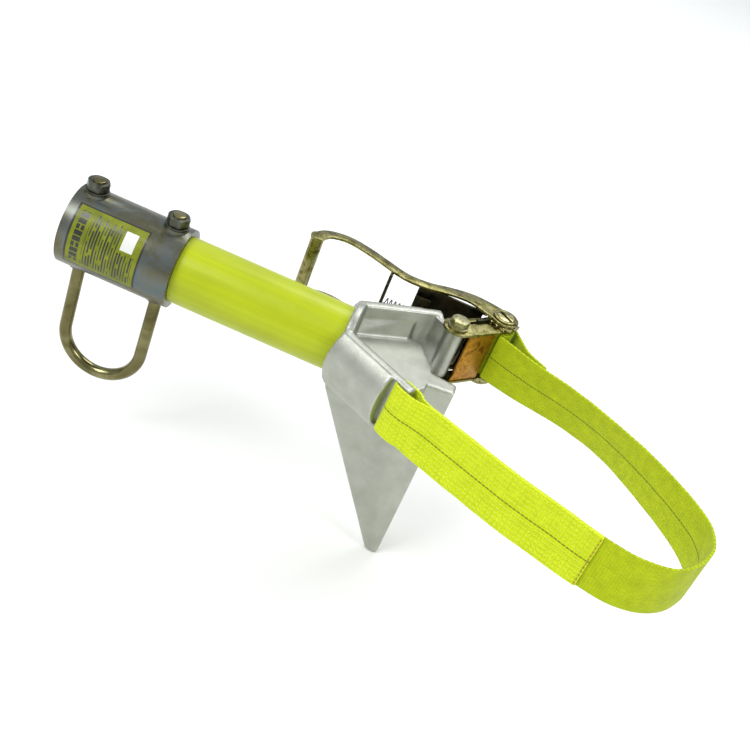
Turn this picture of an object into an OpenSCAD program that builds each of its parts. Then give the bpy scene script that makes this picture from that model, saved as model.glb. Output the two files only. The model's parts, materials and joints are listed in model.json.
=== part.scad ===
// Strap-on pole davit: an insulated arm with a U-bolt at its outer end and a cast saddle
// at its inner end. A ratchet strap pulls the saddle against a pole or a tree trunk.
// X runs along the arm towards the pole, Z up the pole; the origin is on the tube's axis
// where the saddle's spur meets the pole.

/* [Pole arm] */
// Outside diameter of the fibreglass tube
tube_od = 63.5; // [60:0.5:66]
// Wall thickness of the fibreglass tube
tube_wall = 3.2; // [2.5:0.1:5]
// Distance from the pole to the outer end of the head sleeve
arm_reach = 379; // [360:1:420]

/* [Head sleeve and U-bolt] */
// Length of the steel sleeve at the arm's outer end
sleeve_len = 107; // [100:1:125]
// Outside diameter of the sleeve
sleeve_od = 76; // [74:0.5:80]
// Rod diameter of the U-bolt
ubolt_rod = 12; // [10:0.5:13]
// Distance between the U-bolt's legs
ubolt_pitch = 77.5; // [72:0.5:82]
// Height of the U-bolt's outer bend below the tube's axis
ubolt_drop = 153; // [140:1:170]

/* [Saddle casting] */
// Outside diameter of the collar round the tube's end
collar_od = 77; // [74:0.5:80]
// Length of the spigot inside the tube
spigot_len = 48; // [30:1:60]
// Distance from the pole to the collar's rim
rim_x = 113; // [110:0.5:116]
// Thickness of the floor between the wings
floor_t = 12; // [8:0.5:14]
// Height of the strap wings
wing_h = 58; // [57:1:62]
// Thickness of the bar at the front of each wing
wing_t = 9; // [8:0.5:10]
// Depth of the spur's point below the tube's axis
spur_drop = 214; // [200:1:230]

/* [Strap] */
// Width of the webbing
strap_w = 50; // [48:0.5:51]
// Thickness of one layer of webbing
strap_t = 2.6; // [2.2:0.1:3]

/* [Ratchet] */
// Distance between the anchor bolt and the spool
frame_pitch = 58; // [58:0.5:60]
// Clear width between the frame's side plates
frame_gap = 54; // [53.5:0.5:55]
// Thickness of the ratchet's stamped plates
plate_t = 2.5; // [2:0.1:2.6]
// Radius over the ratchet wheels' teeth
wheel_r = 16.5; // [16:0.5:17]
// Number of teeth on each ratchet wheel
wheel_teeth = 13; // [11:1:15]
// Radius of the spool
spool_r = 9; // [8.5:0.1:9.5]
// Diameter of the anchor bolt
anchor_d = 10; // [9:0.5:10]

/* [Hidden] */
$fn = 64;
cut = 0.5;                          // how far a cutting tool runs past the face it cuts
glue = 0.1;                         // bonded gap round the tube
run = 0.08;                         // radial running clearance round pins and shafts
sleeve_x = [-arm_reach, sleeve_len - arm_reach];
plug_t = 6;
bolt_mid_x = -arm_reach + 53;       // midway between the U-bolt's legs
bolt_legs = [bolt_mid_x - ubolt_pitch / 2, bolt_mid_x + ubolt_pitch / 2];
bolt_bend_r = ubolt_pitch / 2;
bolt_bend_z = -ubolt_drop + bolt_bend_r + ubolt_rod / 2;
boss_z = sleeve_od / 2 + 1.5;       // height of the faces that the nuts sit on
washer_t = 2;
nut_h = 7;
stub = 1.5;                         // thread that shows past a nut
tube_x = [-arm_reach + plug_t, -rim_x + 4];
collar_front = -rim_x + 8;
floor_top = 0;                      // height of the floor between the wings
wing_root = [-rim_x, 31];           // upper edge of a wing at the rim, in plan
wing_tip = [-40, 77];               // upper edge of a wing at its front, in plan
wing_low = -1;                      // the wings' middle lies a little below the axis
wing_angle = atan2(wing_tip.y - wing_root.y, wing_tip.x - wing_root.x);
wing_len = norm(wing_tip - wing_root);
slot_u = [wing_len - 21, wing_len - 13];   // strap slot, measured along the wing
slot_h = strap_w + 1;
wing_bulge_r = 41;                  // radius of the wings' outer faces, across the wings
wing_wall = 13.5;                   // thickness of a wing's curved part at its middle
anchor = [-20, 56];                 // anchor bolt, in plan
spool = [20, 98];                   // spool axle, in plan
frame_dir = atan2(anchor.y - spool.y, anchor.x - spool.x);
handle_dir = 180;                   // direction from the spool to the grip
side_z = frame_gap / 2;
washer_z = side_z + plate_t + 0.1;  // the anchor bolt's washers leave the frame free to turn
wheel_z = side_z + plate_t + 0.4;
wheel_t = 3;
arm_z = wheel_z + wheel_t + 0.4;
clip_z = arm_z + plate_t + 0.3;
spool_end_z = clip_z + 1.8;
grip_at = [197, -2];                // grip, from the spool, in the handle's own plan
web_at = [117, 1];                  // cross web, likewise
pawl_tip = wheel_r + 0.5;           // the pawls rest just clear of the teeth
pawl_len = 71;                      // length of the drive pawl's plate

// ---- curves ----
// A point on the smooth curve through the points p, at the distance t counted in points.
function knot(p, i) = p[max(0, min(len(p) - 1, i))];
function spline(p, t) =
    let(i = min(floor(t), len(p) - 2), u = t - i,
        a = knot(p, i - 1), b = knot(p, i), c = knot(p, i + 1), d = knot(p, i + 2))
    0.5 * (2 * b + (c - a) * u + (2 * a - 5 * b + 4 * c - d) * u * u
           + (3 * b - a - 3 * c + d) * u * u * u);
function heading(p, t) =
    let(e = 0.02, a = spline(p, max(0, t - e)), b = spline(p, min(len(p) - 1, t + e)))
    atan2(b.y - a.y, b.x - a.x);

// ---- strap route ----
// Each point is [x, y, lean]: the webbing's middle in plan, and how many degrees its lower
// edge leans out from the loop. The route starts at the wing slot and ends at the spool.
route = [[-52, -69, 3], [-40, -76, 6], [-11, -90, 12], [28, -109, 12], [68, -128, 12],
         [105, -142, 12], [142, -156, 8], [176, -161, 6], [205, -153, 1], [226, -132, 0],
         [238, -104, 0], [235, -72, 0], [213, -38, 4], [184, -6, 9], [150, 24, 16],
         [110, 47, 14], [68, 61, 8], [36, 74, 1], [21.6, 81.2, 0]];
seam = 6;                           // where on the route the sewn lap ends
ratchet_end = 16;                   // where on the route the last free stretch begins
tail_route = [[35.1, 105.8, 0], [43.2, 91, -1], [55, 74, -4], [74, 62.6, -8.5]];

// One rung of the webbing: four corners round the route point t, for a layer whose middle
// is off to the outside by the distance out.
function rung(p, t, thick, out) =
    let(q = spline(p, t), h = heading(p, t), s = [sin(h), -cos(h)], tilt = q[2])
    [for (c = [[-1, 1], [1, 1], [1, -1], [-1, -1]])
        let(across = c.y * strap_w / 2, off = out + c.x * thick / 2)
        [q.x + s.x * (off * cos(tilt) - across * sin(tilt)),
         q.y + s.y * (off * cos(tilt) - across * sin(tilt)),
         across * cos(tilt) + off * sin(tilt)]];

// A band of webbing that follows the route p from t0 to t1, in the given number of steps.
module webbing(p, t0, t1, steps, thick, out) {
    rungs = [for (i = [0 : steps]) rung(p, t0 + (t1 - t0) * i / steps, thick, out)];
    points = [for (r = rungs) for (c = r) c];
    last = 4 * steps;
    sides = [for (i = [0 : steps - 1]) for (j = [0 : 3])
        let(a = 4 * i + j, b = 4 * i + (j + 1) % 4)
        for (f = [[a, b + 4, b], [a, a + 4, b + 4]]) f];
    ends = [[0, 1, 2], [0, 2, 3], [last, last + 2, last + 1], [last, last + 3, last + 2]];
    polyhedron(points = points, faces = concat(sides, ends));
}

// ---- shared shapes ----
// A round bar along X between x0 and x1.
module bar_x(r, x0, x1) {
    translate([x0, 0, 0]) rotate([0, 90, 0]) cylinder(r = r, h = x1 - x0);
}

// A round bar along Z, centred on the plan point p.
module post(p, r, z0, z1) {
    translate([p.x, p.y, z0]) cylinder(r = r, h = z1 - z0);
}

// A hexagon nut with a clear bore and a chamfer at both ends.
module hex_nut(flats, h, bore) {
    difference() {
        intersection() {
            cylinder(r = flats / sqrt(3), h = h, $fn = 6);
            union() {
                cylinder(r1 = flats / 2 + 0.2, r2 = flats / 2 + 1, h = 1);
                translate([0, 0, 1]) cylinder(r = flats / 2 + 1, h = h - 2);
                translate([0, 0, h - 1]) cylinder(r1 = flats / 2 + 1, r2 = flats / 2 + 0.2, h = 1);
            }
        }
        translate([0, 0, -cut]) cylinder(r = bore, h = h + 2 * cut);
    }
}

module ring(r_out, r_in, h) {
    difference() {
        cylinder(r = r_out, h = h);
        translate([0, 0, -cut]) cylinder(r = r_in, h = h + 2 * cut);
    }
}

// The holes for both U-bolt legs, right through the arm.
module leg_holes() {
    for (x = bolt_legs)
        post([x, 0], ubolt_rod / 2 + glue, -sleeve_od, sleeve_od);
}

module at_spool(turn) {
    translate([spool.x, spool.y, 0]) rotate([0, 0, turn]) children();
}

// The same plate above and below the middle, from z to z + t.
module both_sides(z, t) {
    for (side = [0, 1])
        mirror([0, 0, side]) translate([0, 0, z]) linear_extrude(t) children();
}

// ---- pole arm ----
module fibreglass_tube() {
    color("greenyellow") difference() {
        bar_x(tube_od / 2, tube_x[0], tube_x[1]);
        bar_x(tube_od / 2 - tube_wall, tube_x[0] - cut, tube_x[1] + cut);
        leg_holes();
    }
}

module foam_core() {
    color("khaki") difference() {
        bar_x(tube_od / 2 - tube_wall, tube_x[0], -rim_x - spigot_len - 2);
        leg_holes();
    }
}

module head_sleeve() {
    color("slategray") difference() {
        union() {
            bar_x(sleeve_od / 2, sleeve_x[0], sleeve_x[1]);
            for (x = bolt_legs) post([x, 0], 11.5, -boss_z, boss_z);
        }
        bar_x(tube_od / 2 + glue, sleeve_x[0] - cut, sleeve_x[1] + cut);
        leg_holes();
    }
}

module head_end_plug() {
    color("slategray") bar_x(tube_od / 2 + glue, sleeve_x[0] + 1, tube_x[0]);
}

// The label wraps the side of the sleeve that faces -Y.
module label_plate() {
    low = -32;
    high = 61;
    label_x = [sleeve_x[0] + 9, sleeve_x[1] - 30];
    color("khaki") translate([label_x[0], 0, 0]) rotate([0, 90, 0])
        rotate([0, 0, -90 - high]) rotate_extrude(angle = high - low)
            translate([sleeve_od / 2, 0]) square([0.4, label_x[1] - label_x[0]]);
}

module u_bolt() {
    top = boss_z + washer_t + nut_h + 1.5 + stub;
    color("goldenrod") {
        for (x = bolt_legs) post([x, 0], ubolt_rod / 2, bolt_bend_z, top);
        translate([bolt_mid_x, 0, bolt_bend_z]) rotate([-90, 0, 0])
            rotate_extrude(angle = 180) translate([bolt_bend_r, 0]) circle(r = ubolt_rod / 2);
    }
}

module u_bolt_washers() {
    color("darkgray") for (x = bolt_legs)
        translate([x, 0, boss_z]) ring(11.2, ubolt_rod / 2, washer_t);
}

module u_bolt_nuts() {
    color("gray") for (x = bolt_legs)
        translate([x, 0, boss_z + washer_t]) hex_nut(19, nut_h + 1.5, ubolt_rod / 2);
}

// ---- saddle ----
// A flared wing for the strap, on the +Y side. Its wall is curved like a trough, and it ends
// in a flat bar that the strap goes round.
module wing() {
    edge_in = sqrt(pow(wing_bulge_r, 2) - pow(wing_h / 2, 2));
    translate([wing_root.x, wing_root.y, 0]) rotate([0, 0, wing_angle]) {
        intersection() {
            translate([0, -edge_in, wing_low]) difference() {
                bar_x(wing_bulge_r, 0, slot_u[0]);
                bar_x(wing_bulge_r - wing_wall, -cut, slot_u[0] + cut);
            }
            translate([0, -wing_t, wing_low - wing_h / 2]) cube([slot_u[0], 40, wing_h]);
        }
        translate([slot_u[0] - 6, -wing_t, wing_low - wing_h / 2])
            cube([wing_len - slot_u[0] + 6, wing_t, wing_h]);
    }
}

// The floor that joins the two wings at the arm's middle height.
module saddle_floor() {
    translate([0, 0, floor_top - floor_t]) linear_extrude(floor_t)
        polygon([[-rim_x + 1, -30], [-62, -54], [-45, -52], [-27, -19],
                 [-27, 19], [-45, 52], [-62, 54], [-rim_x + 1, 30]]);
}

module wing_slot() {
    translate([wing_root.x, wing_root.y, 0]) rotate([0, 0, wing_angle])
        translate([slot_u[0], -wing_t - 3, -slot_h / 2])
            cube([slot_u[1] - slot_u[0], wing_t + 6, slot_h]);
}

// A solid through rings of points, one ring above or in front of the other.
module loft(rings) {
    n = len(rings[0]);
    base = n * (len(rings) - 1);
    sides = [for (i = [0 : len(rings) - 2]) for (j = [0 : n - 1])
        let(a = n * i + j, b = n * i + (j + 1) % n)
        for (f = [[a, b, b + n], [a, b + n, a + n]]) f];
    caps = [for (j = [1 : n - 2]) for (f = [[0, j + 1, j], [base, base + j, base + j + 1]]) f];
    polyhedron(points = [for (r = rings) for (p = r) p], faces = concat(sides, caps));
}

// The sloping inner side of the trough between the wings, on the +Y side.
module trough_side() {
    low = floor_top - floor_t;
    loft([for (r = [[-rim_x + 1, 11, 27, 24], [-58, 46, 57, 22]])
        [[r[0], r[1], floor_top - 1], [r[0], r[2], r[3]], [r[0], r[2], low], [r[0], r[1], low]]]);
}

// The spur, a wedge with a ridge down each side and a blunt edge against the pole.
// Each row is [z, back x, ridge x, half-width at the back, at the ridge, at the edge].
spur_rows = [[-0.5, -60, -34, 14, 13, 8],
             [-52, -rim_x, -44, 2.5, 13, 4],
             [-spur_drop, -13, -6, 2.5, 5, 3.5]];

module spur() {
    loft([for (r = spur_rows) [for (p = [[r[1], -r[3]], [r[2], -r[4]], [0, -r[5]], [0, r[5]],
                                         [r[2], r[4]], [r[1], r[3]]]) [p.x, p.y, r[0]]]]);
}

module anchor_lug() {
    linear_extrude(frame_gap - 1, center = true)
        polygon([[-46, 66], [-41, 75], [-33, 66], anchor + [-1, 8], anchor + [-8, -2]]);
    post(anchor, 9, -frame_gap / 2 + 0.5, frame_gap / 2 - 0.5);
}

module saddle_casting() {
    color("lightgray") difference() {
        union() {
            difference() {
                union() {
                    bar_x(collar_od / 2, -rim_x, collar_front);
                    for (side = [0, 1]) mirror([0, side, 0]) {
                        wing();
                        trough_side();
                    }
                    saddle_floor();
                }
                bar_x(tube_od / 2 + glue, -rim_x - cut, tube_x[1]);
            }
            bar_x(tube_od / 2 - tube_wall - glue, -rim_x - spigot_len, collar_front);
            spur();
            anchor_lug();
        }
        mirror([0, 1, 0]) wing_slot();
        post(anchor, anchor_d / 2 + 0.2, -wing_h, wing_h);
    }
}

// ---- strap ----
// The sewn eye: two layers from the front of the wing to the seam, and the fold that
// passes through the slot and round the wing's front bar.
module strap_eye() {
    bar_t = wing_t + 0.8;
    fold_u = [slot_u[0] + 1.5, wing_len + 6];
    color("greenyellow") {
        webbing(route, 1.3, seam, 24, 2 * strap_t, 0);
        translate([wing_root.x, -wing_root.y, 0]) rotate([0, 0, -wing_angle])
            translate([0, -0.4, -strap_w / 2]) linear_extrude(strap_w) difference() {
                translate([fold_u[0], -strap_t])
                    square([fold_u[1] - fold_u[0], bar_t + 2 * strap_t]);
                translate([fold_u[0] + strap_t, 0])
                    square([wing_len + 0.6 - fold_u[0] - strap_t, bar_t]);
            }
    }
}

module strap_loop() {
    color("greenyellow") webbing(route, seam, ratchet_end, 40, strap_t, 0);
}

module strap_ratchet_end() {
    color("greenyellow") webbing(route, ratchet_end, len(route) - 1, 8, strap_t, 0);
}

module strap_tail() {
    color("greenyellow") webbing(tail_route, 0, len(tail_route) - 1, 12, strap_t, 0);
}

// ---- ratchet frame ----
module anchor_bolt() {
    under = washer_z + washer_t;
    color("goldenrod") {
        post(anchor, anchor_d / 2, -under - nut_h - stub, under);
        translate([anchor.x, anchor.y, under]) intersection() {
            cylinder(r = 16 / sqrt(3), h = 6.4, $fn = 6);
            cylinder(r1 = 12.4, r2 = 8.4, h = 6.4);
        }
    }
}

module anchor_nut() {
    color("goldenrod") translate([anchor.x, anchor.y, -washer_z - washer_t - nut_h])
        hex_nut(16, nut_h, anchor_d / 2);
}

module anchor_washers() {
    color("goldenrod") for (z = [-washer_z - washer_t, washer_z])
        translate([anchor.x, anchor.y, z]) ring(10, anchor_d / 2, washer_t);
}

// Two side plates; in the frame's own plan the spool is at the origin and the anchor bolt
// is out along +X.
module ratchet_frame() {
    color("darkkhaki") at_spool(frame_dir) both_sides(side_z, plate_t) difference() {
        union() {
            circle(r = 13);
            translate([frame_pitch, 0]) circle(r = 14);
            polygon([[0, -13], [18, -10.5], [38, -11], [frame_pitch, -14],
                     [frame_pitch, 14], [50, 14.4], [16, 13.6], [0, 13]]);
        }
        circle(r = spool_r + run);
        translate([frame_pitch, 0]) circle(r = anchor_d / 2 + run);
        translate([24, -5.4]) square([16, 3.4]);
    }
}

// The bent plate that joins the side plates on the pole's side.
module frame_base_plate() {
    color("peru") at_spool(frame_dir) {
        translate([17, 10.6, -side_z]) cube([33, plate_t, frame_gap]);
        translate([17, 8.6, -side_z]) cube([2.2, 2, frame_gap]);
    }
}

module lock_pawl() {
    color("darkgoldenrod") at_spool(frame_dir) difference() {
        translate([pawl_tip, -5, -wheel_z - wheel_t])
            cube([19, 2.6, 2 * (wheel_z + wheel_t)]);
        for (side = [0, 1]) mirror([0, 0, side]) {
            translate([pawl_tip - cut, -6, side_z - 0.3]) cube([7.8, 5, wheel_z - side_z + 0.1]);
            translate([pawl_tip + 15, -6, side_z - 0.3]) cube([5, 5, 12]);
        }
    }
}

// A coil of wire along +X, between the plan points x0 and x1.
module coil(r, wire, x0, x1, turns) {
    steps = 10 * turns;
    sides = 6;
    points = [for (i = [0 : steps]) for (k = [0 : sides - 1])
        let(a = 36 * i, b = 60 * k, rr = r + wire / 2 * cos(b))
        [x0 + (x1 - x0) * i / steps + wire / 2 * sin(b), rr * cos(a), rr * sin(a)]];
    skin = [for (i = [0 : steps - 1]) for (k = [0 : sides - 1])
        let(a = sides * i + k, b = sides * i + (k + 1) % sides)
        for (f = [[a, b + sides, a + sides], [a, b, b + sides]]) f];
    end = sides * steps;
    caps = [for (k = [1 : sides - 2]) for (f = [[0, k + 1, k], [end, end + k, end + k + 1]]) f];
    polyhedron(points = points, faces = concat(skin, caps));
}

module lock_pawl_spring() {
    color("silver") at_spool(frame_dir) translate([0, -3.7, 0])
        coil(3.4, 1, pawl_tip + 19.6, frame_pitch - 9.8, 4);
}

// ---- spool ----
module spool_halves() {
    slit = strap_t + 1;
    color("darkgoldenrod") at_spool(frame_dir) difference() {
        translate([0, 0, -spool_end_z]) cylinder(r = spool_r, h = 2 * spool_end_z);
        translate([-slit / 2, -spool_r - cut, -spool_end_z - cut])
            cube([slit, 2 * spool_r + 2 * cut, 2 * spool_end_z + 2 * cut]);
    }
}

// A saw-toothed wheel: each tooth rises slowly and drops steeply.
module ratchet_wheels() {
    step = 360 / wheel_teeth;
    color("olive") at_spool(frame_dir) both_sides(wheel_z, wheel_t) difference() {
        polygon([for (i = [0 : wheel_teeth - 1])
            for (p = [[wheel_r - 3.6, 0.05], [wheel_r, 0.8], [wheel_r, 0.96]])
                p[0] * [cos(step * (i + p[1])), sin(step * (i + p[1]))]]);
        circle(r = spool_r);
    }
}

module spool_clips() {
    color("darkkhaki") at_spool(frame_dir) both_sides(clip_z, 1.5) difference() {
        circle(r = 12);
        circle(r = spool_r);
    }
}

module webbing_roll() {
    color("greenyellow") at_spool(frame_dir) translate([0, 0, -strap_w / 2])
        ring(15.2, spool_r, strap_w);
}

// ---- handle ----
// In the handle's own plan the spool is at the origin and the grip is out along +X; the
// side that faces the arm is +Y. Each row is [x, y, width] along the middle of an arm.
arm_rows = [[0, 0, 25], [16, -6, 23], [36, -11, 17], [58, -7, 13], [80, 1, 12],
            [104, 2, 12], [128, -8, 11], [150, -17, 11], [170, -21, 11], [187, -16, 12],
            [195, -6, 13], [197, 4, 13]];

module handle_arms() {
    steps = 40;
    last = len(arm_rows) - 1;
    edge = [for (side = [1, -1]) for (i = [0 : steps])
        let(t = last * (side > 0 ? i : steps - i) / steps, q = spline(arm_rows, t),
            h = heading(arm_rows, t))
        [q.x - side * sin(h) * q[2] / 2, q.y + side * cos(h) * q[2] / 2]];
    color("darkkhaki") at_spool(handle_dir) both_sides(arm_z, plate_t) difference() {
        union() {
            polygon(edge);
            circle(r = 14);
            translate(grip_at) circle(r = 7.5);
        }
        circle(r = spool_r + run);
    }
}

module handle_grip() {
    color("darkkhaki") at_spool(handle_dir) translate([grip_at.x, grip_at.y, -arm_z])
        ring(6.5, 4.5, 2 * arm_z);
}

module handle_cross_web() {
    color("dimgray") at_spool(handle_dir)
        translate([web_at.x - 1.5, web_at.y - 6, -arm_z]) cube([3, 14, 2 * arm_z]);
}

module drive_pawl() {
    half = arm_z - 0.3;
    color("saddlebrown") at_spool(handle_dir) difference() {
        translate([pawl_tip, -1.3, -half]) cube([pawl_len, 2.6, 2 * half]);
        translate([pawl_tip - cut, -2, -side_z - plate_t - 0.4])
            cube([4.5, 4, 2 * (side_z + plate_t + 0.4)]);
    }
}

// The finger tab that pulls the pawl back, bent up from the pawl plate.
module drive_pawl_tab() {
    color("saddlebrown") at_spool(handle_dir) {
        translate([pawl_tip + pawl_len - 2.4, 1.3, -26]) cube([2.4, 8.4, 52]);
        translate([pawl_tip + pawl_len - 16, 9.7, -26]) cube([16, 2.4, 52]);
    }
}

module drive_pawl_spring() {
    color("silver") at_spool(handle_dir)
        coil(3.6, 1.1, pawl_tip + pawl_len + 0.7, web_at.x - 2.4, 6);
}

fibreglass_tube();
foam_core();
head_sleeve();
head_end_plug();
label_plate();
u_bolt();
u_bolt_washers();
u_bolt_nuts();
saddle_casting();
strap_eye();
strap_loop();
strap_ratchet_end();
strap_tail();
anchor_bolt();
anchor_nut();
anchor_washers();
ratchet_frame();
frame_base_plate();
lock_pawl();
lock_pawl_spring();
spool_halves();
ratchet_wheels();
spool_clips();
webbing_roll();
handle_arms();
handle_grip();
handle_cross_web();
drive_pawl();
drive_pawl_tab();
drive_pawl_spring();
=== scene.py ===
import json
import math

import bpy
from mathutils import Matrix, Vector


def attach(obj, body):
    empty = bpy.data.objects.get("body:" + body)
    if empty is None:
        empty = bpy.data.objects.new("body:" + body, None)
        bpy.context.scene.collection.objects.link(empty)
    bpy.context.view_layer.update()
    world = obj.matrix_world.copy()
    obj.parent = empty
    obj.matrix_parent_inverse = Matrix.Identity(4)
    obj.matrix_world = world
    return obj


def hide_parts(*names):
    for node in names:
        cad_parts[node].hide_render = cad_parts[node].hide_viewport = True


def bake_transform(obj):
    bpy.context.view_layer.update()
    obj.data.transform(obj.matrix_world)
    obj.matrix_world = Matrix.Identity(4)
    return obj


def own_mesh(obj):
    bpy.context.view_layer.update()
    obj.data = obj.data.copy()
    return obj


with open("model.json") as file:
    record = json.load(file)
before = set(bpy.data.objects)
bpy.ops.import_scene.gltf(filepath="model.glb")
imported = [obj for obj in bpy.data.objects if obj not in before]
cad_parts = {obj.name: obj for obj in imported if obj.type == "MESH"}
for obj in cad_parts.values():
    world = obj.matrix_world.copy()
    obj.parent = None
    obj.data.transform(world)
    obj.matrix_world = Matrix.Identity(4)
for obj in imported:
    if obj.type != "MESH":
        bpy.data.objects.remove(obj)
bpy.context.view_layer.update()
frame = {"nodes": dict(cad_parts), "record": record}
bpy.ops.object.select_all(action="DESELECT")

# ---- Camera, table top and light ----
# The camera looks down past the arm's near side, rolled so that the arm runs downhill.
# The table top is matt white laminate, and the light comes from three large soft boxes
# and a pale room.
bpy.context.scene.view_settings.view_transform = "Standard"
bpy.ops.object.camera_add()
camera = bpy.context.object
camera.matrix_world = Matrix((
    (0.9157, -0.4020, 0.0027, -0.0701),
    (0.2196, 0.4946, -0.8409, -0.8594),
    (0.3367, 0.7706, 0.5411, 0.5322),
    (0.0, 0.0, 0.0, 1.0),
))
camera.data.sensor_width = 36
camera.data.lens = 53.44
camera.data.clip_start = 0.01
bpy.context.scene.camera = camera


def linear(code):
    """The linear colour of an sRGB hex value."""
    parts = [int(code[i:i + 2], 16) / 255 for i in (1, 3, 5)]
    return [c / 12.92 if c <= 0.04045 else ((c + 0.055) / 1.055) ** 2.4 for c in parts] + [1.0]


def finish(name, **sockets):
    """A new material. Numbers and colours go on the shader's own sockets."""
    made = bpy.data.materials.new(name)
    made.use_nodes = True
    for key, value in sockets.items():
        socket = made.node_tree.nodes["Principled BSDF"].inputs[key.replace("_", " ")]
        socket.default_value = linear(value) if isinstance(value, str) else value
    return made


def add(made, kind, sockets=None, stops=None, **settings):
    """Adds a node to a material. A socket is given a value, or an output to link from."""
    node = made.node_tree.nodes.new("ShaderNode" + kind)
    for key, value in settings.items():
        setattr(node, key, value)
    for key, value in (sockets or {}).items():
        if isinstance(value, bpy.types.NodeSocket):
            made.node_tree.links.new(value, node.inputs[key])
        else:
            node.inputs[key].default_value = value
    for i, (place, code) in enumerate(stops or []):
        ramp = node.color_ramp.elements
        stop = ramp[i] if i < 2 else ramp.new(place)
        stop.position = place
        stop.color = linear(code)
    return node


def wire(made, socket, output):
    """Links an output to one of the shader's sockets."""
    made.node_tree.links.new(output, made.node_tree.nodes["Principled BSDF"].inputs[socket])


bpy.ops.mesh.primitive_plane_add(size=30, location=(0, 0, -0.2142))
bpy.ops.object.transform_apply(location=True)
table_top = bpy.context.object
table_top.name = "table_top"
laminate = finish("Matt white laminate", Base_Color="#F2F2F0", Roughness=0.7)
table_top.data.materials.append(laminate)

room = bpy.data.worlds.new("Pale room")
bpy.context.scene.world = room
room.use_nodes = True
backdrop = room.node_tree.nodes["Background"]
backdrop.inputs["Color"].default_value = linear("#E6EAEE")
backdrop.inputs["Strength"].default_value = 0.8

for name, place, size, power in (
    ("soft_box_left", (-2.6, -2.2, 3.8), 2.4, 136),
    ("soft_box_right", (3.0, -1.4, 3.0), 1.8, 56),
    ("soft_box_top", (0.4, 2.4, 3.4), 2.0, 64),
):
    bpy.ops.object.light_add(type="AREA", location=place)
    lamp = bpy.context.object
    lamp.name = name
    lamp.data.size = size
    lamp.data.energy = power
    beam = Vector((-0.05, 0, 0)) - Vector(place)
    lamp.rotation_euler = beam.to_track_quat("-Z", "Y").to_euler()

# ---- Fibreglass tube and its core ----
# A 63.5 mm pultruded tube of pigmented polyester resin and glass rovings, closed-cell foam
# inside. The rovings run along the tube and show as faint streaks under the glossy skin.
body_of_node = {n: b for b, names in frame["record"]["behaviour"]["bodies"].items() for n in names}


def paint(node, *made):
    """Gives a CAD part, which stays as it is, its material."""
    mesh = frame["nodes"][node].data
    mesh.materials.clear()
    for each in made:
        mesh.materials.append(each)


resin = finish("Pultruded fibreglass, yellow-green", Roughness=0.38, IOR=1.5, Coat_Weight=0.15,
               Coat_Roughness=0.2, Specular_IOR_Level=0.3)
where = add(resin, "TexCoord").outputs["Object"]
streaks = add(resin, "Mapping", {"Vector": where, "Scale": (9, 260, 260)})
rovings = add(resin, "TexNoise", {"Vector": streaks.outputs[0], "Scale": 1.0, "Detail": 4.0})
clouds = add(resin, "TexNoise", {"Vector": where, "Scale": 22.0, "Detail": 3.0})
shade = add(resin, "Math", {0: rovings.outputs[0], 1: clouds.outputs[0]}, operation="ADD")
shade = add(resin, "Math", {0: shade.outputs[0], 1: 0.5}, operation="MULTIPLY")
tint = add(resin, "ValToRGB", {"Fac": shade.outputs[0]},
           stops=[(0.3, "#9CA803"), (0.5, "#A8B502"), (0.7, "#B1BE04")])
wire(resin, "Base Color", tint.outputs[0])
relief = add(resin, "Bump", {"Height": rovings.outputs[0], "Strength": 0.12, "Distance": 0.0003})
wire(resin, "Normal", relief.outputs[0])
paint("fibreglass_tube", resin)

foam = finish("Closed-cell foam, tan", Base_Color="#CDBB7C", Roughness=0.9)
where = add(foam, "TexCoord").outputs["Object"]
cells = add(foam, "TexVoronoi", {"Vector": where, "Scale": 900.0})
relief = add(foam, "Bump", {"Height": cells.outputs[0], "Strength": 0.5, "Distance": 0.0004})
wire(foam, "Normal", relief.outputs[0])
paint("foam_core", foam)

# ---- Head sleeve and end plug ----
# A welded steel sleeve with two bosses for the U-bolt's nuts. It is zinc plated and
# chromated, which leaves the grey metal clouded with olive and bluish patches.


def fit(piece, body, nodes, slot, *made):
    """Puts a finished piece on its body in place of CAD parts, with its materials."""
    bpy.ops.object.select_all(action="DESELECT")
    mesh = piece.data
    mesh.materials.clear()
    for each in made:
        mesh.materials.append(each)
    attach(piece, body)
    if nodes:
        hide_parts(*nodes)


def apply_all(piece):
    """Applies every modifier of a piece."""
    bpy.ops.object.select_all(action="DESELECT")
    piece.select_set(True)
    bpy.context.view_layer.objects.active = piece
    for modifier in list(piece.modifiers):
        bpy.ops.object.modifier_apply(modifier=modifier.name)


def welded_copy(node, name):
    """A copy of a CAD part whose loose triangles are joined into one skin."""
    made = bpy.data.objects.new(name, frame["nodes"][node].data.copy())
    bpy.context.scene.collection.objects.link(made)
    bpy.ops.object.select_all(action="DESELECT")
    made.select_set(True)
    bpy.context.view_layer.objects.active = made
    bpy.ops.object.mode_set(mode="EDIT")
    bpy.ops.mesh.select_all(action="SELECT")
    bpy.ops.mesh.remove_doubles(threshold=0.000004)
    bpy.ops.mesh.customdata_custom_splitnormals_clear()
    bpy.ops.object.mode_set(mode="OBJECT")
    return made


def eased(node, name, radius, slot, *made, segments=2):
    """Stands a copy with eased edges, as a tumbled or worn part has, in place of a CAD part."""
    piece = welded_copy(node, name)
    bpy.ops.object.mode_set(mode="EDIT")
    bpy.ops.mesh.select_all(action="SELECT")
    bpy.ops.mesh.dissolve_limited(angle_limit=math.radians(0.5))
    bpy.ops.object.mode_set(mode="OBJECT")
    edge = piece.modifiers.new("eased edge", "BEVEL")
    edge.width = radius
    edge.segments = segments
    edge.limit_method = "ANGLE"
    edge.angle_limit = math.radians(38)
    apply_all(piece)
    bpy.ops.object.shade_smooth_by_angle(angle=math.radians(34))
    fit(piece, body_of_node[node], [node], slot, *made)
    return piece


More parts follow.
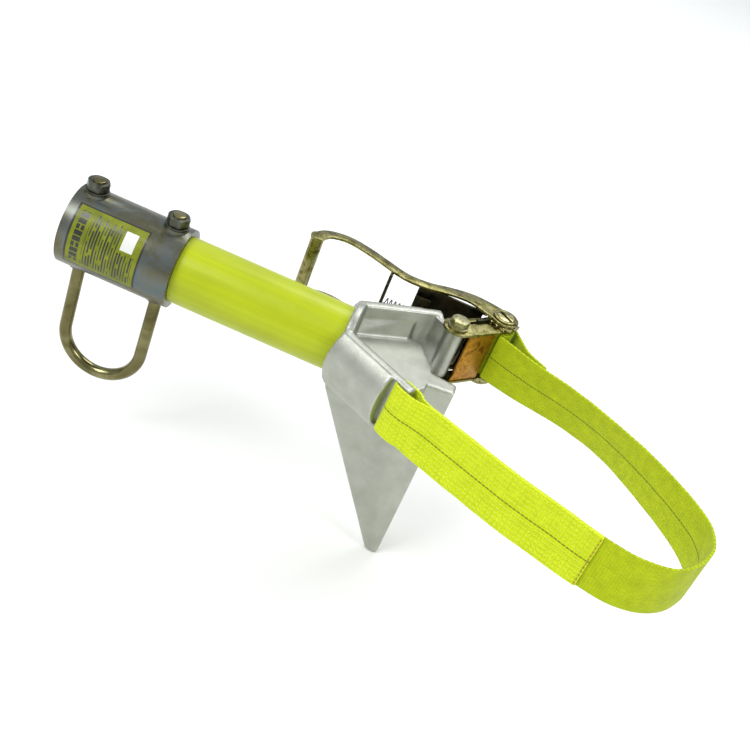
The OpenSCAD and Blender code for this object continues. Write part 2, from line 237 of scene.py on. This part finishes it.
def plated(name, codes, cloud_mm, rough, grain=0.08):
    """A plated metal: clouded in colour, fine grained, with patches that shine more."""
    made = finish(name, Metallic=1.0, Roughness=rough)
    place = add(made, "TexCoord").outputs["Object"]
    cloud = add(made, "TexNoise", {"Vector": place, "Scale": 1000 / cloud_mm, "Detail": 5.0,
                                   "Roughness": 0.6, "Distortion": 0.6})
    stops = [(0.32 + 0.36 * i / (len(codes) - 1), code) for i, code in enumerate(codes)]
    hue = add(made, "ValToRGB", {"Fac": cloud.outputs[0]}, stops=stops)
    wire(made, "Base Color", hue.outputs[0])
    fine = add(made, "TexNoise", {"Vector": place, "Scale": 1300.0, "Detail": 3.0})
    blend = add(made, "Math", {0: cloud.outputs[0], 1: fine.outputs[0]}, operation="MULTIPLY")
    shine = add(made, "MapRange", {"Value": blend.outputs[0], "From Min": 0.12, "From Max": 0.42,
                                   "To Min": rough * 0.75, "To Max": rough * 1.35})
    wire(made, "Roughness", shine.outputs[0])
    bump = add(made, "Bump", {"Height": fine.outputs[0], "Strength": grain, "Distance": 0.0004})
    wire(made, "Normal", bump.outputs[0])
    return made


grey_zinc = plated("Grey chromated zinc on steel",
                   ["#55523C", "#66644F", "#6A6E6A", "#5F6E72"], 34, 0.34)
eased("head_sleeve", "sleeve_body", 0.0008, "grey_zinc", grey_zinc)
eased("head_end_plug", "sleeve_end_plug", 0.0008, "grey_zinc", grey_zinc)

# ---- Label ----
# A printed polyester sticker on the side of the sleeve, under a clear film. It is yellow
# with a black rim, a dark heading, rows of small marks that can't be read and a white box.
LABEL_X = (-0.370, -0.302)
LABEL_TURN = (-32, 61)
LABEL_R = 0.0384
CELL = 0.0005
RIM, MARGIN = 1.6, 3.2
YELLOW, BLACK, WHITE = 0, 1, 2
label_rows = int((LABEL_TURN[1] - LABEL_TURN[0]) * math.pi / 180 * LABEL_R / CELL)
label_columns = round((LABEL_X[1] - LABEL_X[0]) / CELL)
bpy.ops.mesh.primitive_grid_add(x_subdivisions=label_columns, y_subdivisions=label_rows, size=2)
label = bpy.context.object
label.name = "printed_label"
for v in label.data.vertices:
    x = LABEL_X[0] + (v.co.x + 1) / 2 * (LABEL_X[1] - LABEL_X[0])
    turn = math.radians(LABEL_TURN[0] + (v.co.y + 1) / 2 * (LABEL_TURN[1] - LABEL_TURN[0]))
    v.co = (x, -LABEL_R * math.cos(turn), LABEL_R * math.sin(turn))


def mark(column, line):
    """What is printed on one cell of the label, with its place taken in mm."""
    x, up = column * CELL * 1000, line * CELL * 1000
    wide, tall = label_columns * CELL * 1000, label_rows * CELL * 1000
    inwards = min(x, wide - x, up, tall - up)
    if inwards < MARGIN:
        return BLACK if inwards < RIM else YELLOW
    if 5 < x < 13:
        letter = int(up / 5.5)
        inside = up % 5.5 < 4.2 and 6 < up < tall - 6
        return BLACK if inside and not (letter % 3 == 1 and 8 < x < 10) else YELLOW
    if 48 < x < 60 and tall - 26 < up < tall - 8:
        return WHITE
    if x > 45 and up > tall - 29:
        return YELLOW
    line_number, in_line = int(x / 2.6), x % 2.6
    if 16 < x < wide - 5 and in_line < 1.2:
        word = int(up / (3.5 + (line_number * 7) % 4))
        gap = (word * 5 + line_number * 3) % 7
        return BLACK if gap and 5 < up < tall - 5 - (line_number * 3) % 8 else YELLOW
    return YELLOW


for face in label.data.polygons:
    face.material_index = mark(face.index % label_columns, face.index // label_columns)
ink = finish("Black label ink under film", Base_Color="#1B1D12", Roughness=0.35, Coat_Weight=0.3)
yellow_ink = finish("Yellow label ink under film", Roughness=0.45, Coat_Weight=0.1,
                    Specular_IOR_Level=0.25)
where = add(yellow_ink, "TexCoord").outputs["Object"]
fade = add(yellow_ink, "TexNoise", {"Vector": where, "Scale": 90.0, "Detail": 4.0})
tint = add(yellow_ink, "ValToRGB", {"Fac": fade.outputs[0]},
           stops=[(0.35, "#666E0A"), (0.65, "#7C8410")])
wire(yellow_ink, "Base Color", tint.outputs[0])
white_ink = finish("White label box under film", Base_Color="#D9DAD4", Roughness=0.35,
                   Coat_Weight=0.3)
bpy.ops.object.shade_smooth()
label_indices = [face.material_index for face in label.data.polygons]
fit(label, "pole_arm", ["label_plate"], "printed_label", yellow_ink, ink, white_ink)
for face, index in zip(label.data.polygons, label_indices):
    face.material_index = index

# ---- U-bolt, washers and nuts ----
# A 12 mm steel rod bent hot into a U and zinc plated, with hexagon nuts and plain washers on
# top. The rod is brighter than the sleeve, with a warm tint; the nuts are dull and dark.
rod_zinc = plated("Bright zinc on steel rod", ["#565133", "#6E6945", "#8B8660"], 40, 0.18, 0.02)
nut_zinc = plated("Dull zinc on steel nuts", ["#3E3F36", "#55574C", "#6C6D62"], 7, 0.38)
eased("u_bolt", "u_bolt_rod", 0.0006, "ubolt_zinc", rod_zinc)
eased("u_bolt_washers", "u_bolt_plain_washers", 0.0003, "grey_zinc", nut_zinc)
eased("u_bolt_nuts", "u_bolt_hex_nuts", 0.0003, "grey_zinc", nut_zinc)

# ---- Saddle casting ----
# Sand-cast aluminium, one piece: collar, strap wings and their floor, spur and ratchet lug,
# with rounded edges and filled corners. The skin is grainy, and rubbed edges are bright.
casting = welded_copy("saddle_casting", "saddle_cast_body")
skin = casting.modifiers.new("cast skin", "REMESH")
skin.mode = "VOXEL"
skin.voxel_size = 0.00135
radii = casting.modifiers.new("cast radii", "SMOOTH")
radii.factor = 0.6
radii.iterations = 7
apply_all(casting)
bpy.ops.object.shade_smooth()
cast_metal = finish("Sand-cast aluminium", Metallic=0.9, Roughness=0.4)
where = add(cast_metal, "TexCoord").outputs["Object"]
sand = add(cast_metal, "TexNoise", {"Vector": where, "Scale": 620.0, "Detail": 6.0,
                                    "Roughness": 0.65})
stain = add(cast_metal, "TexNoise", {"Vector": where, "Scale": 60.0, "Detail": 4.0,
                                     "Distortion": 0.2})
hue = add(cast_metal, "ValToRGB", {"Fac": stain.outputs[0]},
          stops=[(0.3, "#A3A59B"), (0.5, "#ABADA3"), (0.7, "#B2B4AA")])
corner = add(cast_metal, "NewGeometry").outputs["Pointiness"]
worn = add(cast_metal, "MapRange", {"Value": corner, "From Min": 0.52, "From Max": 0.6})
bright = add(cast_metal, "Mix", {0: worn.outputs[0], 6: hue.outputs[0], 7: linear("#E2E3DE")},
             data_type="RGBA")
wire(cast_metal, "Base Color", bright.outputs[2])
shine = add(cast_metal, "MapRange", {"Value": sand.outputs[0], "From Min": 0.3, "From Max": 0.7,
                                     "To Min": 0.3, "To Max": 0.52})
wire(cast_metal, "Roughness", shine.outputs[0])
grit = add(cast_metal, "Bump", {"Height": sand.outputs[0], "Strength": 0.35, "Distance": 0.0006})
wire(cast_metal, "Normal", grit.outputs[0])
fit(casting, "pole_arm", ["saddle_casting"], "cast_aluminium", cast_metal)

# ---- Strap ----
# 50 mm polyester ratchet webbing, woven in fine ribs, with a dark marker thread down its
# middle. One end is folded round the near wing's bar and sewn back on itself as far as the
# seam; the other end runs to the ratchet's spool.
THICK = 2.6
LAYER = 1.4
HALF_WIDTH = 25
# Each point of a route is x and y in mm, and how far the webbing leans there, in degrees.
ROUTE = [(-52, -69, 3), (-40, -76, 6), (-11, -90, 12), (28, -109, 12), (68, -128, 12),
         (105, -142, 12), (142, -156, 8), (176, -161, 6), (205, -153, 1), (226, -132, 0),
         (238, -104, 0), (235, -72, 0), (213, -38, 4), (184, -6, 9), (150, 24, 16),
         (110, 47, 14), (68, 61, 8), (36, 74, 1), (21.6, 81.2, 0)]
SEAM, RATCHET_END = 6, 18


def along(points, t):
    """A point on the smooth curve through the points, at the distance t counted in points."""
    i = min(int(t), len(points) - 2)
    u = t - i
    a, b, c, d = (Vector(points[max(0, min(len(points) - 1, k))]) for k in range(i - 1, i + 3))
    return 0.5 * (2 * b + (c - a) * u + (2 * a - 5 * b + 4 * c - d) * u * u
                  + (3 * b - a - 3 * c + d) * u ** 3)


def rung(points, t, out=0.0):
    """The webbing's middle and the direction across it, in mm, for a layer shifted outwards."""
    q = along(points, t)
    step = along(points, min(len(points) - 1, t + 0.02)) - along(points, max(0, t - 0.02))
    side = Vector((step.y, -step.x, 0)).normalized()
    lean = math.radians(q.z)
    middle = Vector((q.x, q.y, 0)) + out * (side * math.cos(lean) + Vector((0, 0, math.sin(lean))))
    return middle, Vector((0, 0, math.cos(lean))) - side * math.sin(lean)


def webbing(name, rungs, steps, ripple=0.0):
    """One strip of webbing through the rungs, with its cloth coordinates in mm."""
    middles = [r[0] for r in rungs]
    acrosses = [r[1] for r in rungs]
    last = len(rungs) - 1
    spine = [along(middles, last * i / steps) for i in range(steps + 1)]
    run = [0.0]
    for a, b in zip(spine, spine[1:]):
        run.append(run[-1] + (b - a).length)
    bpy.ops.mesh.primitive_grid_add(x_subdivisions=steps, y_subdivisions=14, size=2)
    strip = bpy.context.object
    strip.name = name
    places = {}
    for v in strip.data.vertices:
        i = round((v.co.x + 1) / 2 * steps)
        across = v.co.y * HALF_WIDTH
        line = along(acrosses, last * i / steps).normalized()
        ahead = spine[min(i + 1, steps)] - spine[max(i - 1, 0)]
        face = ahead.cross(line).normalized()
        wave = math.sin(run[i] / 9.3) + math.sin(run[i] / 5.1 + across / 11)
        v.co = (spine[i] + line * across + face * ripple * wave) / 1000
        places[v.index] = (across + HALF_WIDTH, run[i])
    cloth = strip.data.uv_layers[0].data
    for loop in strip.data.loops:
        cloth[loop.index].uv = places[loop.vertex_index]
    return strip


def thicken(strip, body, nodes, *made):
    """Gives a strip its thickness and its rounded selvedges."""
    bulk = strip.modifiers.new("thickness", "SOLIDIFY")
    bulk.thickness = THICK / 1000
    bulk.offset = 0
    bulk.material_offset = 1
    selvedge = strip.modifiers.new("selvedge", "BEVEL")
    selvedge.width = 0.0009
    selvedge.segments = 3
    selvedge.limit_method = "ANGLE"
    selvedge.angle_limit = math.radians(50)
    for each in made:
        strip.data.materials.append(each)
    apply_all(strip)
    bpy.ops.object.shade_smooth_by_angle(angle=math.radians(50))
    keep = [face.material_index for face in strip.data.polygons]
    if body:
        fit(strip, body, nodes, "webbing", *made)
        strip.data.polygons.foreach_set("material_index", keep)
    else:
        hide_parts(*nodes)


def polyester(name, marker, sewn_and_lit):
    """Woven polyester: ribs along the strap, crossed threads, and sewing where it is doubled, with
    painted light on the doubled run and painted shade elsewhere.
    """
    made = finish(name, Roughness=0.7, Sheen_Weight=0.1, Sheen_Roughness=0.4,
                  Specular_IOR_Level=0.2)
    place = add(made, "UVMap").outputs[0]
    # Real threads are 0.5 mm; here they are 1.1 mm, so that they show.
    weave = add(made, "TexBrick", {"Vector": place, "Color1": (1, 1, 1, 1),
                                   "Color2": (0.72, 0.72, 0.72, 1), "Mortar": (0, 0, 0, 1),
                                   "Scale": 1.0, "Mortar Size": 0.16,
                                   "Mortar Smooth": 1.0, "Brick Width": 1.1, "Row Height": 2.6},
                offset=0.5)
    axes = add(made, "SeparateXYZ", {0: place})
    ribs = add(made, "Math", {0: axes.outputs[0], 1: 1.1}, operation="PINGPONG")
    height = add(made, "Math", {0: weave.outputs["Color"], 1: 0.55, 2: ribs.outputs[0]},
                 operation="MULTIPLY_ADD")
    soil = add(made, "TexNoise", {"Vector": place, "Scale": 0.09, "Detail": 4.0, "Roughness": 0.5})
    faint = add(made, "Math", {0: soil.outputs[0], 1: 0.45}, operation="MULTIPLY")
    tone = add(made, "Math", {0: weave.outputs["Color"], 1: 0.36, 2: faint.outputs[0]},
               operation="MULTIPLY_ADD")
    # The doubled run's tint is lighter as painted light, and the single run, tail and roll are
    # darker as painted shade; the webbing itself is one colour.
    tint = add(made, "ValToRGB", {"Fac": tone.outputs[0]},
               stops=[(0.25, "#A9BA0A"), (0.5, "#CBDB10"), (0.65, "#D8E71C")] if sewn_and_lit else
               [(0.25, "#93A302"), (0.5, "#AEBE04"), (0.65, "#BCCB06")])
    colour = tint.outputs[0]
    if sewn_and_lit:
        rows = add(made, "Math", {0: axes.outputs[0], 1: 2.08}, operation="PINGPONG")
        row = add(made, "MapRange", {"Value": rows.outputs[0], "From Min": 0.45, "From Max": 1.1,
                                     "To Min": 1.0, "To Max": 0.0}, interpolation_type="SMOOTHSTEP")
        pitch = add(made, "Math", {0: axes.outputs[1], 1: 2.2}, operation="PINGPONG")
        link = add(made, "MapRange", {"Value": pitch.outputs[0], "From Min": 0.2, "From Max": 0.9},
                   interpolation_type="SMOOTHSTEP")
        sewing = add(made, "Math", {0: row.outputs[0], 1: link.outputs[0]}, operation="MULTIPLY")
        height = add(made, "Math", {0: sewing.outputs[0], 1: 1.6, 2: height.outputs[0]},
                     operation="MULTIPLY_ADD")
        thread = add(made, "Mix", {0: sewing.outputs[0], 6: colour, 7: linear("#D3E32A")},
                     data_type="RGBA")
        colour = thread.outputs[2]
    if marker:
        off = add(made, "Math", {0: axes.outputs[0], 1: HALF_WIDTH}, operation="SUBTRACT")
        off = add(made, "Math", {0: off.outputs[0]}, operation="ABSOLUTE")
        line = add(made, "MapRange", {"Value": off.outputs[0], "From Min": 0.35, "From Max": 0.95,
                                      "To Min": 0.8, "To Max": 0.0})
        dashes = add(made, "Math", {0: axes.outputs[1], 1: 2.0}, operation="PINGPONG")
        dash = add(made, "MapRange", {"Value": dashes.outputs[0], "From Min": 0.2, "From Max": 0.8,
                                      "To Min": 0.45, "To Max": 1.0})
        seen = add(made, "Math", {0: line.outputs[0], 1: dash.outputs[0]}, operation="MULTIPLY")
        marked = add(made, "Mix", {0: seen.outputs[0], 6: colour, 7: linear("#4C5A14")},
                     data_type="RGBA")
        colour = marked.outputs[2]
    wire(made, "Base Color", colour)
    relief = add(made, "Bump", {"Height": height.outputs[0], "Strength": 0.6, "Distance": 0.0005})
    wire(made, "Normal", relief.outputs[0])
    return made


# The sewn double faces carry painted light in their tint; the plain and marked faces carry painted
# shade.
plain_face_painted_shade = polyester("Polyester webbing, plain face, painted shade", False, False)
marked_face_painted_shade = polyester("Polyester webbing, marked face, painted shade", True, False)
sewn_face_painted_light = polyester("Polyester webbing, sewn double, painted light", True, True)

WING_ROOT, WING_TIP = Vector((-113, -31, 0)), Vector((-40, -77, 0))
wing_u = (WING_TIP - WING_ROOT).normalized()
wing_v = Vector((wing_u.y, -wing_u.x, 0))
fold_up = Vector((0, 0, math.cos(math.radians(4)))) - wing_v * math.sin(math.radians(4))
inner = [rung(ROUTE, t, -LAYER) for t in (6, 5.5, 5, 4.5, 4, 3.5, 3, 2.5, 2, 1.75)]
fold = [(WING_ROOT + wing_u * u + wing_v * v, fold_up) for u, v in (
    (97, -6.8), (91, -10.2), (84, -11.3), (77, -11.3), (72, -10.4), (69.6, -7.6), (69.2, -4.5),
    (69.6, -1.2), (71.6, 1.9), (76, 3.3), (83, 3.4), (91, 2.4), (97, 0.4))]
outer = [rung(ROUTE, t, LAYER) for t in (1.75, 2, 2.5, 3, 3.5, 4, 4.5, 5, 5.5, 6)]
eye_rungs = inner + fold + outer
strap_eye = webbing("strap_sewn_eye", eye_rungs, 150, 0.12)
thicken(strap_eye, "pole_arm", ["strap_eye"], sewn_face_painted_light, sewn_face_painted_light)

run_start = SEAM - 0.02
run_places = [run_start + (RATCHET_END - run_start) * i / 48 for i in range(49)]
run_rungs = [rung(ROUTE, t, -LAYER * max(0.0, 1 - (t - SEAM) / 0.8)) for t in run_places]
strap_run = webbing("strap_single_run", run_rungs, 156, 0.1)
thicken(strap_run, None, ["strap_loop", "strap_ratchet_end"], plain_face_painted_shade, marked_face_painted_shade)
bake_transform(strap_run)

TAIL = [(35.1, 105.8, 0), (43.2, 91, -1), (55, 74, -4), (74, 62.6, -8.5)]
tail_rungs = [rung(TAIL, 3 * i / 12) for i in range(13)]
strap_tail = webbing("strap_loose_tail", tail_rungs, 36, 0.05)
thicken(strap_tail, None, ["strap_tail"], plain_face_painted_shade, marked_face_painted_shade)
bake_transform(strap_tail)

SPOOL = Vector((20, 98, 0))
roll_rungs = []
for i in range(31):
    turn = math.radians(-83 + 475 * (30 - i) / 30)
    radius = 10.5 + 3.3 * i / 30
    spot = SPOOL + radius * Vector((math.cos(turn), math.sin(turn), 0))
    roll_rungs.append((spot, Vector((0, 0, 1))))
roll = webbing("strap_roll_on_spool", roll_rungs, 90)
thicken(roll, "spool", ["webbing_roll"], plain_face_painted_shade, marked_face_painted_shade)

# ---- Sewing on the doubled strap ----
# Bonded polyester thread in long rows of lock stitch, each stitch standing a little proud
# of the webbing, and one darker row across the strap where the doubled part ends.
bpy.ops.mesh.primitive_uv_sphere_add(segments=6, ring_count=4, radius=1)
stitch = bpy.context.object
shape = [v.co.copy() for v in stitch.data.vertices]
skin_faces = [tuple(face.vertices) for face in stitch.data.polygons]
bpy.data.objects.remove(stitch)


def sew(name, seats, made):
    """Stitches at the given seats: (middle, along, across, outwards), lengths in mm."""
    points, faces = [], []
    for middle, lengthwise, across, up in seats:
        start = len(points)
        points += [(middle + p.x * lengthwise + p.y * across + p.z * up) / 1000 for p in shape]
        faces += [tuple(start + k for k in face) for face in skin_faces]
    mesh = bpy.data.meshes.new(name)
    mesh.from_pydata(points, [], faces)
    rows = bpy.data.objects.new(name, mesh)
    bpy.context.scene.collection.objects.link(rows)
    bpy.context.view_layer.objects.active = rows
    mesh.shade_smooth()
    fit(rows, "pole_arm", [], "webbing", made)


def seat(t, across, out, length, turned=False):
    """Where one stitch lies on the doubled strap."""
    middle, line = rung(ROUTE, t, out)
    ahead = (rung(ROUTE, t + 0.02)[0] - rung(ROUTE, t - 0.02)[0]).normalized()
    up = ahead.cross(line).normalized()
    lengthwise, sideways = (line, ahead) if turned else (ahead, line)
    return middle + line * across, lengthwise * length, sideways * 0.55, up * 0.45


def sewing_thread(name, code):
    """Twisted thread, with the turns of its plies in low relief."""
    made = finish(name, Base_Color=code, Roughness=0.5, Sheen_Weight=0.2)
    where = add(made, "TexCoord").outputs["Object"]
    twist = add(made, "TexWave", {"Scale": 420.0, "Vector": where})
    relief = add(made, "Bump", {"Height": twist.outputs[0], "Strength": 0.3, "Distance": 0.0002})
    wire(made, "Normal", relief.outputs[0])
    return made


thread = sewing_thread("Bonded polyester thread, yellow", "#CADC1E")
seam_thread = sewing_thread("Bonded polyester thread, brown", "#9C7A1A")
STITCH_PITCH = 5.2
PROUD = 2.85
stitch_places = []
t = 1.7
while t < SEAM - 0.06:
    stitch_places.append(t)
    t += STITCH_PITCH / (along(ROUTE, t + 0.01) - along(ROUTE, t)).to_2d().length * 0.01
sew("strap_long_stitches", [seat(t, across, out, 2.1) for t in stitch_places
                            for across in (-22, -17.5, -13, -8.5, -4.2, 4.2, 8.5, 13, 17.5, 22)
                            for out in (PROUD, -PROUD)], thread)
sew("strap_seam_stitches", [seat(SEAM - 0.045, -22 + 4 * k, out, 1.7, True)
                            for k in range(12) for out in (PROUD, -PROUD)], seam_thread)

# ---- Ratchet frame, anchor bolt and locking pawl ----
# Stamped steel side plates and a bent base plate, all zinc plated and yellow chromated,
# bolted to the saddle's lug with an M10 bolt. The flat pawl slides in slots of the plates.
yellow_zinc = plated("Yellow chromated zinc on stamped steel",
                     ["#4E4A26", "#75703E", "#948F60", "#6E6035"], 12, 0.28)
pale_zinc = plated("Pale chromated zinc on bolts", ["#7F7A52", "#A9A57E", "#B9B693"], 6, 0.32)
orange_zinc = plated("Orange chromated zinc on bent plate",
                     ["#6B4A18", "#9A6A22", "#B1842F", "#7C4A1C"], 8, 0.38, 0.14)
dark_zinc = plated("Dark chromated zinc on stamped steel",
                   ["#2A2A20", "#3E3C2A", "#4E3B28"], 7, 0.4)
eased("anchor_bolt", "anchor_hex_bolt", 0.0004, "yellow_zinc", pale_zinc)
eased("anchor_nut", "anchor_hex_nut", 0.0003, "yellow_zinc", pale_zinc)
eased("anchor_washers", "anchor_plain_washers", 0.0003, "yellow_zinc", pale_zinc)
eased("ratchet_frame", "ratchet_side_plates", 0.0006, "yellow_zinc", yellow_zinc, segments=3)
eased("frame_base_plate", "ratchet_base_plate", 0.0005, "orange_zinc", orange_zinc)
eased("lock_pawl", "locking_pawl", 0.0004, "yellow_zinc", dark_zinc)

# ---- Spool ----
# Two half-round steel bars hold the webbing between them; the toothed wheels and the
# retaining rings are pressed on their ends. Teeth and ends are rubbed brighter.
worn_zinc = plated("Rubbed yellow zinc on wheels", ["#6A6238", "#A39B6E", "#C2BC98"], 4, 0.27)
eased("spool_halves", "spool_half_bars", 0.0006, "yellow_zinc", worn_zinc)
eased("ratchet_wheels", "spool_toothed_wheels", 0.0003, "yellow_zinc", worn_zinc)
eased("spool_clips", "spool_retaining_rings", 0.0003, "yellow_zinc", yellow_zinc)

# ---- Handle ----
# Two stamped arms with a round grip at the far end and a dark cross web between them, and
# the driving pawl with its finger tab. All but the dark parts are yellow chromated.
eased("handle_arms", "handle_stamped_arms", 0.0007, "yellow_zinc", yellow_zinc, segments=3)
eased("handle_grip", "handle_round_grip", 0.0006, "yellow_zinc", yellow_zinc)
eased("handle_cross_web", "handle_dark_web", 0.0005, "dark_zinc", dark_zinc)
eased("drive_pawl", "driving_pawl", 0.0005, "orange_zinc", dark_zinc)
eased("drive_pawl_tab", "driving_pawl_tab", 0.0005, "orange_zinc", dark_zinc)

# ---- Pawl springs ----
# Coils of drawn spring-steel wire, oiled and dark, that push each pawl towards the teeth.
# Each coil is a fixed shape riding on the body of the spring part it replaces.
spring_steel = plated("Drawn spring steel wire", ["#3A3B38", "#50514C"], 3, 0.4)


def coil(name, radius, thick, length, turns, origin, heading, node):
    """A coil spring from the origin along the heading, riding on the body of the spring part it
    replaces.
    """
    bpy.ops.mesh.primitive_circle_add(vertices=10, radius=thick / 2, location=(radius, 0, 0),
                                      rotation=(math.pi / 2, 0, 0))
    spring = bpy.context.object
    spring.name = name
    bpy.ops.object.transform_apply(location=True, rotation=True)
    winding = spring.modifiers.new("winding", "SCREW")
    winding.angle = turns * 2 * math.pi
    winding.screw_offset = length
    winding.steps = winding.render_steps = turns * 20
    apply_all(spring)
    spring.rotation_euler = Vector(heading).to_track_quat("Z", "Y").to_euler()
    spring.location = origin
    bpy.ops.object.transform_apply(location=True, rotation=True)
    bpy.ops.object.mode_set(mode="EDIT")
    bpy.ops.mesh.select_all(action="DESELECT")
    bpy.ops.mesh.select_non_manifold()
    bpy.ops.mesh.fill_holes(sides=12)
    bpy.ops.mesh.select_all(action="SELECT")
    bpy.ops.mesh.normals_make_consistent(inside=False)
    bpy.ops.object.mode_set(mode="OBJECT")
    bpy.ops.object.shade_smooth()
    fit(spring, body_of_node[node], [node], "spring_wire", spring_steel)
    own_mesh(spring)


coil("driving_pawl_spring", 0.0036, 0.0011, 0.0256, 6, (-0.0689, 0.098, 0), (-1, 0, 0),
     "drive_pawl_spring")
along_frame = (Vector((-0.020, 0.056, 0)) - SPOOL / 1000).normalized()
beside = Vector((-along_frame.y, along_frame.x, 0))
coil("locking_pawl_spring", 0.0034, 0.0010, 0.0113, 4,
     SPOOL / 1000 + along_frame * 0.0368 - beside * 0.0037, along_frame,
     "lock_pawl_spring")
